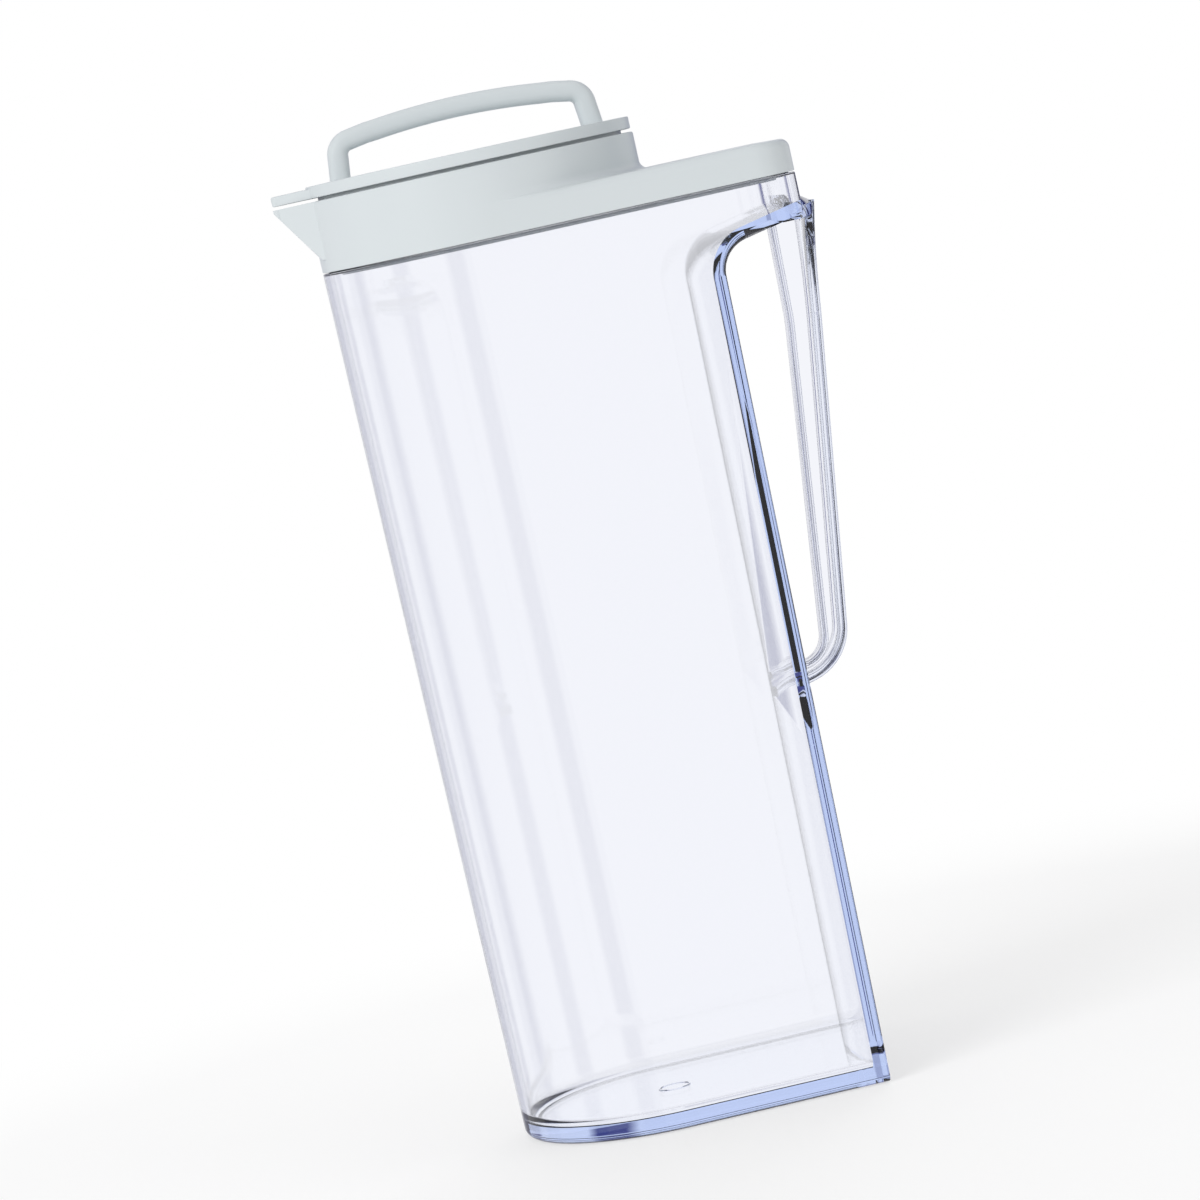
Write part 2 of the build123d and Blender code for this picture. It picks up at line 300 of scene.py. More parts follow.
def merged_copy(node: str, weld: float = 0.00001) -> bmesh.types.BMesh:
    """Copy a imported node's mesh with its loose triangles joined up.

    Args:
        node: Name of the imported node.
        weld: Distance in metres under which points are one.

    Returns:
        A new bmesh, closed, with flat areas as single faces.
    """
    mesh = bmesh.new()
    mesh.from_mesh(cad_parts[node].data)
    bmesh.ops.remove_doubles(mesh, verts=mesh.verts, dist=weld)
    bmesh.ops.dissolve_degenerate(mesh, edges=mesh.edges, dist=weld)
    bmesh.ops.dissolve_limit(
        mesh, angle_limit=math.radians(0.3), verts=mesh.verts, edges=mesh.edges, delimit={"NORMAL"}
    )
    bmesh.ops.triangulate(mesh, faces=[f for f in mesh.faces if len(f.verts) > 4])
    bmesh.ops.recalc_face_normals(mesh, faces=mesh.faces)
    return mesh


def finished(name: str, mesh: bmesh.types.BMesh, body: Body, material: bpy.types.Material,
             crease: float = 28.0) -> bpy.types.Object:
    """Turn a bmesh into a shown piece that rides on a body.

    Args:
        name: Name of the piece.
        mesh: The shape, which is freed here.
        body: The body that it moves with.
        material: Its finish.
        crease: Angle in degrees over which an edge stays sharp.

    Returns:
        The new object, at the origin.
    """
    data = bpy.data.meshes.new(name)
    mesh.to_mesh(data)
    mesh.free()
    data.shade_smooth()
    data.set_sharp_from_angle(angle=math.radians(crease))
    piece = bpy.data.objects.new(name, data)
    bpy.context.scene.collection.objects.link(piece)
    flats = piece.modifiers.new("even_normals", "WEIGHTED_NORMAL")
    flats.mode = "FACE_AREA"
    flats.weight = 90
    flats.keep_sharp = True
    dress(piece, material)
    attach(piece, body.value)
    LOG.info("piece %s: %d faces on %s", name, len(data.polygons), body.value)
    return piece


def arc(centre: Point, radius: float, start: float, end: float, steps: int) -> list[Point]:
    """Points along an arc.

    Args:
        centre: Its centre.
        radius: Its radius.
        start: Angle in degrees of its first point.
        end: Angle in degrees of its last point.
        steps: Equal steps between them.

    Returns:
        One point more than there are steps.
    """
    turns = [math.radians(start + (end - start) * k / steps) for k in range(steps + 1)]
    return [(centre[0] + radius * math.cos(a), centre[1] + radius * math.sin(a)) for a in turns]


def mirrored(points: list[Point]) -> list[Point]:
    """The same points on the other side of the middle plane, in reverse order."""
    return [(x, -y) for x, y in reversed(points)]


@dataclass(frozen=True)
class Sizes:
    """Sizes of the pitcher in millimetres, as in the CAD source."""

    cap_x: float = -17.5
    half_width: float = 46.1
    base_half_width: float = 43.6
    shoulder_z: float = 247.9
    head_rear: float = 66.5
    head_corner: float = 10.5
    least_bend: float = 0.4
    wall: float = 2.2
    floor: float = 4.4
    skirt_low: float = 248.2
    deck_z: float = 257.3
    collar_top: float = 268.0
    disc_low: float = 268.9
    disc_top: float = 271.7
    disc_r: float = 45.7
    spout_x: float = -73.25

    def half_at(self, height: float) -> float:
        """Half width of the jug's drafted body at a height."""
        return self.base_half_width + (self.half_width - self.base_half_width) * height / self.shoulder_z

    def outline(self, inset: float, half_width: float | None = None, fine: int = 1) -> list[Point]:
        """Round-nosed outline of lid and jug, drawn in by an inset, with the same count for every inset.

        Args:
            inset: Distance that the outline is drawn in by.
            half_width: Half width before the inset, or none for that of the lid.
            fine: Divisions of the straight stretches.

        Returns:
            Points once round, in order.
        """
        half = (half_width or self.half_width) - inset
        back = self.head_rear - inset
        bend = max(self.head_corner - inset, self.least_bend)
        nose = arc((self.cap_x, 0.0), half, 270.0, 90.0, 180)
        side = [(self.cap_x + (back - bend - self.cap_x) * k / fine, half) for k in range(1, fine)]
        turn = arc((back - bend, half - bend), bend, 90.0, 0.0, 14)
        rear = [(back, (half - bend) * (1.0 - 2.0 * k / fine)) for k in range(1, fine)]
        return nose + side + turn + rear + mirrored(turn) + mirrored(side)

    def circle(self, radius: float, like: list[Point]) -> list[Point]:
        """Circle about the cap axis with a point in the direction of each point of an outline."""
        angles = [math.atan2(y, x - self.cap_x) for x, y in like]
        return [(self.cap_x + radius * math.cos(a), radius * math.sin(a)) for a in angles]


SIZE = Sizes()


def ring(points: list[Point], height: float) -> Ring:
    """A level loop of points in metres, from plan points and a height in millimetres."""
    return [Vector((x * MM, y * MM, height * MM)) for x, y in points]


def stack(rings: list[Ring], closed: bool = False) -> bmesh.types.BMesh:
    """Join rings of equal count into a skin.

    Args:
        rings: The loops, in order.
        closed: True joins the last loop to the first, and false caps both ends.

    Returns:
        A closed bmesh.
    """
    mesh = bmesh.new()
    loops = [[mesh.verts.new(p) for p in loop] for loop in rings]
    count = len(loops[0])
    pairs = list(zip(loops, loops[1:])) + ([(loops[-1], loops[0])] if closed else [])
    for low, high in pairs:
        for k in range(count):
            mesh.faces.new((low[k], low[(k + 1) % count], high[(k + 1) % count], high[k]))
    if not closed:
        mesh.faces.new(loops[0])
        mesh.faces.new(loops[-1])
    return cleaned(mesh)


def cleaned(mesh: bmesh.types.BMesh) -> bmesh.types.BMesh:
    """Merge doubled points, drop slivers and turn all faces outward.

    Args:
        mesh: The mesh, changed in place.

    Returns:
        The same mesh.
    """
    bmesh.ops.remove_doubles(mesh, verts=mesh.verts, dist=WELD)
    bmesh.ops.dissolve_degenerate(mesh, edges=mesh.edges, dist=SLIVER)
    bmesh.ops.recalc_face_normals(mesh, faces=mesh.faces)
    return mesh


def quarter(steps: int) -> list[Point]:
    """Steps of a rounding of radius 1: how far in from the side and up from the end each point lies."""
    turns = [math.radians(90.0 * k / steps) for k in range(steps + 1)]
    return [(1.0 - math.sin(a), 1.0 - math.cos(a)) for a in turns]


def eased(bend: float, middle: float) -> list[Point]:
    """Steps of a small edge rounding: how far in from the side and down from the end face each point lies."""
    return [(0.0, bend), (middle, middle), (bend, 0.0)]


def combined(first: bmesh.types.BMesh, *others: tuple[str, bmesh.types.BMesh]) -> bmesh.types.BMesh:
    """Add or cut solids with one another, in order.

    Args:
        first: The solid to start from, freed here.
        others: Pairs of an operation (UNION, DIFFERENCE or INTERSECT) and a solid, freed here.

    Returns:
        The resulting solid.
    """
    def held(mesh: bmesh.types.BMesh) -> bpy.types.Object:
        """Put a mesh in a scratch object for a while."""
        data = bpy.data.meshes.new("scratch")
        mesh.to_mesh(data)
        mesh.free()
        item = bpy.data.objects.new("scratch", data)
        bpy.context.scene.collection.objects.link(item)
        return item

    base = held(first)
    tools = []
    for operation, mesh in others:
        tool = held(mesh)
        tools.append(tool)
        cut = base.modifiers.new(operation, "BOOLEAN")
        cut.operation = operation
        cut.solver = "EXACT"
        cut.object = tool
    shape = bpy.data.meshes.new_from_object(base.evaluated_get(bpy.context.evaluated_depsgraph_get()))
    result = bmesh.new()
    result.from_mesh(shape)
    for item in [base, *tools]:
        data = item.data
        bpy.data.objects.remove(item)
        bpy.data.meshes.remove(data)
    bpy.data.meshes.remove(shape)
    return cleaned(result)


def wedge(root: Point, tip: Point, low: float, high: float) -> bmesh.types.BMesh:
    """An upright wedge in plan with a rounded tip, for the spout and its trough.

    Args:
        root: Place along X and half width where it starts.
        tip: Place along X of its tip, and the radius there.
        low: Height of its underside.
        high: Height of its top.

    Returns:
        The closed wedge.
    """
    nose = arc((tip[0] + tip[1], 0.0), tip[1], 90.0, 270.0, 10)
    points = [(root[0], -root[1]), root, *nose]
    return stack([ring(points, low), ring(points, high)])


def sliced(mesh: bmesh.types.BMesh, point: Vector, normal: Vector) -> bmesh.types.BMesh:
    """Cut away what lies on one side of a plane and close the cut.

    Args:
        mesh: The solid, changed in place.
        point: A point of the plane, in metres.
        normal: Direction of the side that goes.

    Returns:
        The same mesh.
    """
    cut = bmesh.ops.bisect_plane(
        mesh,
        geom=[*mesh.verts, *mesh.edges, *mesh.faces],
        plane_co=point,
        plane_no=normal,
        clear_outer=True,
    )
    edges = [e for e in cut["geom_cut"] if isinstance(e, bmesh.types.BMEdge)]
    bmesh.ops.holes_fill(mesh, edges=edges)
    bmesh.ops.recalc_face_normals(mesh, faces=mesh.faces)
    return mesh


@dataclass(frozen=True)
class Thread:
    """Ridges of the three-start screw, with run-outs at both ends, in millimetres and degrees."""

    root: float
    crest: float
    low: float
    start: float
    sweep: float
    lead: float = 12.0
    starts: int = 3
    steps: int = 36
    half_root: float = 0.85
    half_crest: float = 0.4
    first_share: float = 0.2
    run_out: float = 6.0

    def ridge(self, start: float) -> bmesh.types.BMesh:
        """One ridge.

        Args:
            start: Angle in degrees where it starts.

        Returns:
            The closed ridge.
        """
        rings = []
        for k in range(self.steps + 1):
            share = k / self.steps
            angle = math.radians(start + self.sweep * share)
            height = self.low + self.lead * self.sweep * share / 360.0
            grown = min(1.0, self.first_share + self.run_out * min(share, 1.0 - share))
            reach = self.root + (self.crest - self.root) * grown
            section = (
                (self.root, -self.half_root), (reach, -self.half_crest),
                (reach, self.half_crest), (self.root, self.half_root),
            )
            rings.append([
                Vector((SIZE.cap_x + r * math.cos(angle), r * math.sin(angle), height + lift)) * MM
                for r, lift in section
            ])
        return stack(rings)

    def build(self) -> list[tuple[str, bmesh.types.BMesh]]:
        """All ridges, each with the operation that adds it."""
        return [("UNION", self.ridge(self.start + 360.0 * k / self.starts)) for k in range(self.starts)]


def bent_path(points: list[Point], bends: list[float], step: float, even: bool = True) -> list[Point]:
    """A polyline with its inner corners rounded, in points of about even spacing along the bends.

    Args:
        points: Corners of the line.
        bends: Radius at each inner corner.
        step: Greatest spacing of the points, in millimetres.
        even: Whether the straight stretches are divided too.

    Returns:
        Points along the line.
    """
    path = [Vector(points[0])]
    for before, corner, after, radius in zip(points, points[1:], points[2:], bends):
        here = Vector(corner)
        back = (Vector(before) - here).normalized()
        ahead = (Vector(after) - here).normalized()
        half = back.angle(ahead) / 2
        reach = radius / math.tan(half)
        centre = here + (back + ahead).normalized() * radius / math.sin(half)
        start = here + back * reach - centre
        sweep = math.pi - 2 * half
        sign = 1.0 if start.x * ahead.y - start.y * ahead.x > 0 else -1.0
        count = max(4, round(sweep * radius / step))
        for k in range(count + 1):
            a = sign * sweep * k / count
            path.append(centre + Vector((
                start.x * math.cos(a) - start.y * math.sin(a),
                start.x * math.sin(a) + start.y * math.cos(a),
            )))
    path.append(Vector(points[-1]))
    result = [path[0]]
    for low, high in zip(path, path[1:]):
        parts = max(1, math.ceil((high - low).length / (4 * step))) if even else 1
        result += [low.lerp(high, k / parts) for k in range(1, parts + 1)]
    return [(p.x, p.y) for p in result]


def strip(path: list[Point], width: Callable[[float], float], near: float, far: float,
          bend: float) -> bmesh.types.BMesh:
    """A rounded flat bar swept along a path in the side plane.

    Args:
        path: Points as x and z in millimetres.
        width: Gives the half width at a height.
        near: Distance of its one face from the path, to the side of the path's turned heading.
        far: Distance of its other face.
        bend: Radius of its four edges.

    Returns:
        The closed bar.
    """
    rings = []
    for k, (x, z) in enumerate(path):
        before = Vector(path[max(k - 1, 0)])
        after = Vector(path[min(k + 1, len(path) - 1)])
        heading = (after - before).normalized()
        side = Vector((heading.y, -heading.x))
        half = width(z)
        section = []
        for edge, face, first in (
            (half - bend, far - bend, 0.0), (bend - half, far - bend, 90.0),
            (bend - half, near + bend, 180.0), (half - bend, near + bend, 270.0),
        ):
            section += arc((edge, face), bend, first, first + 90.0, 4)
        rings.append([Vector((x + side.x * shift, y, z + side.y * shift)) * MM for y, shift in section])
    return stack(rings)


def shrunk(points: list[Point], inset: float) -> list[Point]:
    """A closed outline drawn in along its own normals.

    Args:
        points: Points once round.
        inset: Distance that it is drawn in by.

    Returns:
        As many points.
    """
    area = sum(a[0] * b[1] - b[0] * a[1] for a, b in zip(points, points[1:] + points[:1]))
    sign = 1.0 if area > 0 else -1.0
    result = []
    for before, here, after in zip(points[-1:] + points[:-1], points, points[1:] + points[:1]):
        heading = (Vector(after) - Vector(before)).normalized()
        result.append((here[0] - sign * heading.y * inset, here[1] + sign * heading.x * inset))
    return result


def turned(profile: list[Point], step: int = 2) -> bmesh.types.BMesh:
    """A closed profile turned about the cap axis.

    Args:
        profile: Radius and height of each point, once round.
        step: Degrees between the sections.

    Returns:
        The closed ring.
    """
    around = [
        (SIZE.cap_x + math.cos(math.radians(a)), math.sin(math.radians(a))) for a in range(0, 360, step)
    ]
    return stack([ring(SIZE.circle(r, around), z) for r, z in profile], closed=True)


@dataclass
class Jug:
    """The clear jug with its grip, one moulding."""

    finish: ClearFinish = field(default_factory=ClearFinish)
    foot: float = 2.4
    floor_bend: float = 3.4
    neck_step: float = 1.9
    neck_top: float = 254.6
    neck_inset: float = 3.5
    neck_low: float = 247.2
    neck_blend: float = 2.2
    neck_steps: int = 6
    rear_base: float = 38.85
    rear_lean: float = 3.4 / 247.9
    vee: float = 4.8
    rear_wall: float = 2.5
    rear_corner_wall: float = 3.6
    arch: float = 9.0
    ceiling_z: float = 230.9
    ceiling_rise: float = math.tan(math.radians(12.2))
    ceiling_t: float = 3.6
    corner_bend: float = 2.4
    recess_over: float = 4.0
    recess_far: float = 110.0
    recess_low: float = -2.0
    recess_foot: float = 0.03
    grip_half: float = 7.5
    flare: float = 9.5
    flare_power: float = 2.5
    knee_z: float = 207.8
    flare_height: float = 30.6
    plate_t: float = 2.8
    plate_edge: float = 0.8
    bead_half: float = 4.6
    bead_t: float = 1.9
    bead_edge: float = 0.7
    web_half: float = 1.3
    web_inset: float = 1.2
    grip_root: float = 31.55
    ledge_half: float = 36.0
    ledge_root: float = 65.5
    ledge_back: float = 58.0
    ledge_steps: int = 40
    ledge_sections: tuple[Point, ...] = (
        (235.0, 72.1), (235.4, 72.5), (238.0, 73.15), (238.5, 73.2), (242.2, 67.3)
    )

    def outside(self) -> bmesh.types.BMesh:
        """Drafted outside with the foot rounding, the shoulder and the neck.

        Returns:
            The solid without its recess.
        """
        top, step = SIZE.shoulder_z, self.neck_step
        rings = [
            ring(SIZE.outline(self.foot * i, SIZE.half_at(self.foot * j)), self.foot * j)
            for i, j in quarter(7)
        ]
        rings += [ring(SIZE.outline(i), top - j) for i, j in eased(0.35, 0.1)]
        rings += [ring(SIZE.outline(step - i), top + j) for i, j in reversed(eased(0.4, 0.1))]
        rings += [ring(SIZE.outline(step + i), self.neck_top - j) for i, j in eased(0.5, 0.15)]
        return stack(rings)

    def cavity(self) -> bmesh.types.BMesh:
        """Space inside, from its floor rounding up through the neck.

        Returns:
            The solid that is cut out.
        """
        bend, low = self.floor_bend, self.neck_low
        rings = []
        for i, j in quarter(5):
            height = SIZE.floor + bend * j
            rings.append(ring(SIZE.outline(SIZE.wall + bend * i, SIZE.half_at(height)), height))
        rings.append(ring(SIZE.outline(SIZE.wall, SIZE.half_at(low)), low))
        for k in range(1, self.neck_steps + 1):
            share = (1 - math.cos(math.pi * k / self.neck_steps)) / 2
            height = low + self.neck_blend * k / self.neck_steps
            half = min(SIZE.half_at(height), SIZE.half_width)
            rings.append(ring(SIZE.outline(SIZE.wall + (self.neck_inset - SIZE.wall) * share, half), height))
        rings.append(ring(SIZE.outline(self.neck_inset), self.neck_top + 1.0))
        return stack(rings)

    def recess(self, middle: float, edge: float, lift: float, bend: float) -> bmesh.types.BMesh:
        """Space behind the vee of the rear wall, open to both sides.

        Args:
            middle: Shift of the wall's middle from the outer face.
            edge: Shift of the wall where it meets the sides.
            lift: Shift of the ceiling.
            bend: Radius of the arch between wall and ceiling.

        Returns:
            The solid that is cut out.
        """
        reach = SIZE.half_width + self.recess_over
        wide = edge + (edge - middle) * self.recess_over / SIZE.half_width

        def side(shift: float) -> list[Point]:
            """Side view of the space with its wall shifted."""
            start = self.rear_base - self.vee + shift
            corner = start + self.rear_lean * self.ceiling_z
            height = self.ceiling_z + lift + self.ceiling_rise * (corner - self.rear_base)
            top = height + self.ceiling_rise * (self.recess_far - corner)
            foot = (start - self.recess_foot, self.recess_low)
            line = bent_path([foot, (corner, height), (self.recess_far, top)], [bend], 0.5, even=False)
            return [*line, (self.recess_far, self.recess_low)]

        loops = []
        for y, shift in ((-reach, wide), (0.0, middle), (reach, wide)):
            loops.append([Vector((x, y, z)) * MM for x, z in side(shift)])
        return stack(loops)

    def flared(self, height: float) -> float:
        """Half width of the grip's outer plate at a height, wider toward the ledge."""
        share = min(max((height - self.knee_z) / self.flare_height, 0.0), 1.0)
        return self.grip_half + self.flare * share ** self.flare_power

    def grip(self) -> list[bmesh.types.BMesh]:
        """The grip's outer plate, its inner bead and the web between them.

        Returns:
            The solids, to be fused to the jug.
        """
        knee, root = self.knee_z, self.grip_root
        corners = [(72.3, 239.0), (71.1, 229.0), (68.7, knee), (55.8, 110.7), (root, 104.8)]
        outer = bent_path(corners, [20.0, 60.0, 16.0], 1.0)
        inner = bent_path([(60.1, 242.0), (59.3, knee), (49.3, 113.9), (root, 112.5)], [60.0, 7.0], 1.0)
        plate = strip(outer, self.flared, 0.0, self.plate_t, self.plate_edge)
        bead = strip(inner, lambda height: self.bead_half, -self.bead_t, 0.0, self.bead_edge)
        root_low, root_high = (31.0, 105.5), (31.0, 111.8)
        between = [*outer[:-1], root_low, root_high, *reversed(inner[:-1])]
        drawn = shrunk(between, self.web_inset)
        web = stack([[Vector((x, y, z)) * MM for x, z in drawn] for y in (-self.web_half, self.web_half)])
        return [plate, bead, web]

    def ledge(self) -> bmesh.types.BMesh:
        """Bowed ledge at the rear of the head, which the grip hangs from.

        Returns:
            The solid, to be fused to the jug.
        """
        half, root, steps = self.ledge_half, self.ledge_root, self.ledge_steps
        across = [half * (2.0 * k / steps - 1.0) for k in range(steps + 1)]
        rings = []
        for height, reach in self.ledge_sections:
            bowed = [(root + (reach - root) * (1.0 - (y / half) ** 2), y) for y in across]
            rings.append(ring([*bowed, (self.ledge_back, half), (self.ledge_back, -half)], height))
        return stack(rings)

    def parting_line(self) -> bmesh.types.BMesh:
        """Faint raised line across the rear wall, where the slides of the mould met.

        Returns:
            The solid, to be fused to the jug.
        """
        half, low, rise, thick, proud, sunk = 43.0, 92.5, 2.1, 0.25, 0.09, 1.0
        rings = []
        for lift in (0.0, thick):
            loop = []
            for y in (-half, 0.0, half):
                height = low + lift + rise * abs(y) / half
                shift = self.vee * abs(y) / SIZE.half_width - self.vee
                loop.append((self.rear_base + shift + self.rear_lean * height, y, height))
            outer = [Vector((x + proud, y, z)) * MM for x, y, z in loop]
            inner = [Vector((x - sunk, y, z)) * MM for x, y, z in reversed(loop)]
            rings.append(outer + inner)
        return stack(rings)

    def gate_mark(self) -> bmesh.types.BMesh:
        """Plain round mark that the mould's gate leaves on the floor."""
        sunk, top = SIZE.floor - 0.2, SIZE.floor + 0.3
        return turned([(4.6, sunk), (4.5, top), (4.1, top), (3.9, sunk)], 8)

    def on_corner(self, place: Vector) -> bool:
        """Whether a point in millimetres lies where the side of the jug meets the rear wall."""
        on_side = abs(abs(place.y) - SIZE.half_at(place.z)) < 0.03
        return on_side and 2.35 < place.z < 236.0 and 37.0 < place.x < 55.0

    def rounded_corners(self, mesh: bmesh.types.BMesh) -> bmesh.types.BMesh:
        """Round the outer corner edges of the rear wall and its arch.

        Args:
            mesh: The jug's outside, changed in place.

        Returns:
            The same mesh.
        """
        least_angle = 0.6
        chosen = [
            edge for edge in mesh.edges
            if len(edge.link_faces) == 2 and edge.calc_face_angle(0.0) >= least_angle
            and all(self.on_corner(v.co / MM) for v in edge.verts)
        ]
        LOG.info("rounding %d corner edges", len(chosen))
        bmesh.ops.bevel(
            mesh, geom=chosen, offset=self.corner_bend * MM, offset_type="OFFSET", segments=4,
            profile=0.5, affect="EDGES", clamp_overlap=False, material=-1,
        )
        bmesh.ops.recalc_face_normals(mesh, faces=mesh.faces)
        return mesh

    def build(self) -> None:
        """Make the jug in one clear piece and dress it."""
        outer = combined(self.outside(), ("DIFFERENCE", self.recess(0.0, self.vee, 0.0, self.arch)))
        behind = self.recess(
            -self.rear_wall, self.vee - self.rear_corner_wall, self.ceiling_t, self.arch + self.ceiling_t
        )
        inner = combined(self.cavity(), ("DIFFERENCE", behind))
        added = [*self.grip(), self.ledge(), self.parting_line()]
        shape = combined(
            self.rounded_corners(outer), *[("UNION", piece) for piece in added],
            ("DIFFERENCE", inner), ("UNION", self.gate_mark()),
        )
        jug = finished("clear_jug", shape, Body.JUG, self.finish.build())
        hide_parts("jug_body")
        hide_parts("jug_handle")


@dataclass
class Lid:
    """The pale lid with its seal."""

    plastic: MouldedFinish
    rubber: MouldedFinish
    thread: Thread = Thread(root=30.6, crest=29.87, low=258.4, start=60.0, sweep=80.0)
    deck_bend: float = 2.6
    foot_bend: float = 2.4
    deck_wall: float = 2.0
    skirt_wall: float = 1.5
    collar_wall: float = 2.5
    edge: float = 0.3
    port_outer: float = 32.9
    port_inner: float = 30.3
    port_rise: float = 6.4
    seat_inner: float = 27.3
    seat_top: float = 251.3
    seat_low: float = 249.7
    plug_wall_outer: float = 5.3
    plug_wall_inner: float = 7.0
    plug_wall_drop: float = 8.6
    bead_inset: float = 4.4
    bead_low: float = 247.3
    bead_slope: float = 0.2
    bead_height: float = 1.4
    spout_half: float = 12.5
    spout_tip: float = 1.6
    spout_drop: float = 0.9
    spout_low: float = 252.9
    spout_wall: float = 1.7
    spout_sunk: float = 2.3
    trough_half: float = 10.8
    trough_tip: float = 0.5
    trough_sunk: float = 6.0
    deck_clear: float = 0.02
    window_angle: float = 38.0
    window_far: float = 36.0
    window_front: float = 37.5
    window_back: float = 8.0
    window_rise: float = 9.0

    def skin(self) -> bmesh.types.BMesh:
        """Whole skin of the lid but for the spout and the pour window, as one closed loop of rings.

        Returns:
            The closed solid.
        """
        base = SIZE.outline(0.0, fine=36)
        collar = SIZE.circle(SIZE.half_width, base)
        widths = [math.dist(a, b) for a, b in zip(base, collar)]
        scale = [min(1.0, w / (self.deck_bend + self.foot_bend)) for w in widths]

        def toward(distances: list[float], where_none: float) -> list[Point]:
            """Outline drawn in toward the collar, by a distance at each point."""
            shares = [d / w if w > SLIVER else where_none for d, w in zip(distances, widths)]
            return [
                (a[0] + (b[0] - a[0]) * s, a[1] + (b[1] - a[1]) * s) for a, b, s in zip(base, collar, shares)
            ]

        low, top, deck, under = SIZE.skirt_low, SIZE.collar_top, SIZE.deck_z, SIZE.deck_z - self.deck_wall
        rings = [
            ring(SIZE.outline(i, fine=36), low + j) for i, j in ((0.25, 0.0), (0.07, 0.08), (0.0, self.edge))
        ]
        for i, j in quarter(8):
            inward = [self.deck_bend * s * j for s in scale]
            rings.append(ring(toward(inward, 0.0), deck - self.deck_bend * i))
        for i, j in quarter(8):
            inward = [w - self.foot_bend * s * i for w, s in zip(widths, scale)]
            rings.append(ring(toward(inward, 1.0), deck + self.foot_bend * j))
        outer, inner = SIZE.half_width, SIZE.half_width - self.collar_wall
        port_top, edge = deck + self.port_rise, self.edge
        rounds = [(outer - i, top - j) for i, j in eased(0.5, 0.15)]
        rounds += [(inner + edge, top), (inner, top - edge), (inner, deck), (self.port_outer, deck)]
        rounds += [(self.port_outer, port_top - edge), (self.port_outer - edge, port_top)]
        rounds += [(self.port_inner + edge, port_top), (self.port_inner, port_top - edge)]
        rounds += [(self.port_inner, self.seat_top), (self.seat_inner, self.seat_top)]
        rounds += [(self.seat_inner, self.seat_low), (self.port_outer, self.seat_low)]
        rounds += [(self.port_outer, under)]
        rings += [ring(SIZE.circle(radius, base), height) for radius, height in rounds]
        wall, bead, bead_top = self.plug_wall_outer, self.bead_inset, self.bead_low + self.bead_height
        drawn = [(self.plug_wall_inner, under), (self.plug_wall_inner, under - self.plug_wall_drop)]
        drawn += [(wall, under - self.plug_wall_drop), (wall, self.bead_low)]
        drawn += [(bead, self.bead_low + self.bead_slope), (bead, bead_top - self.bead_slope)]
        drawn += [(wall, bead_top), (wall, under), (self.skirt_wall, under), (self.skirt_wall, low)]
        rings += [ring(SIZE.outline(inset, fine=36), height) for inset, height in drawn]
        return stack(rings, closed=True)

    def spout(self) -> tuple[bmesh.types.BMesh, bmesh.types.BMesh]:
        """The spout and the trough in it, both with the same sloping underside.

        Returns:
            The solid that is added and the one that is cut out.
        """
        face_x = SIZE.cap_x - SIZE.half_width
        run = face_x - SIZE.spout_x
        rise = SIZE.collar_top - self.spout_drop - self.spout_low
        down = Vector((-rise, 0.0, -run)).normalized()
        added = wedge(
            (face_x + self.spout_sunk, self.spout_half), (SIZE.spout_x, self.spout_tip),
            self.spout_low - 1.0, SIZE.collar_top,
        )
        cut = wedge(
            (face_x + self.trough_sunk, self.trough_half), (SIZE.spout_x, self.trough_tip),
            SIZE.deck_z + self.deck_clear, SIZE.collar_top + 1.0,
        )
        thick = self.spout_wall * math.sqrt(1 + (rise / run) ** 2)
        under, bed = (Vector((face_x, 0.0, z)) * MM for z in (self.spout_low, self.spout_low + thick))
        return sliced(added, under, down), sliced(cut, bed, down)

    def window(self) -> bmesh.types.BMesh:
        """Opening from the port through the collar into the spout.

        Returns:
            The solid that is cut out.
        """
        angle = math.radians(self.window_angle)
        side_x = SIZE.cap_x - self.window_far * math.cos(angle)
        side_y = self.window_far * math.sin(angle)
        points = [
            (SIZE.cap_x - self.window_back, 0.0), (side_x, side_y),
            (SIZE.cap_x - self.window_front, 0.0), (side_x, -side_y),
        ]
        return stack([ring(points, SIZE.deck_z + rise) for rise in (self.deck_clear, self.window_rise)])

    def build(self) -> None:
        """Make the lid and its seal and dress them."""
        spout, trough = self.spout()
        shape = combined(
            self.skin(), ("UNION", spout), *self.thread.build(),
            ("DIFFERENCE", trough), ("DIFFERENCE", self.window()),
        )
        shell = finished("lid_shell", shape, Body.LID, self.plastic.build())
        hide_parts("lid_body")
        seal = finished("lid_seal_ring", merged_copy("lid_gasket"), Body.LID, self.rubber.build())
        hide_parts("lid_gasket")


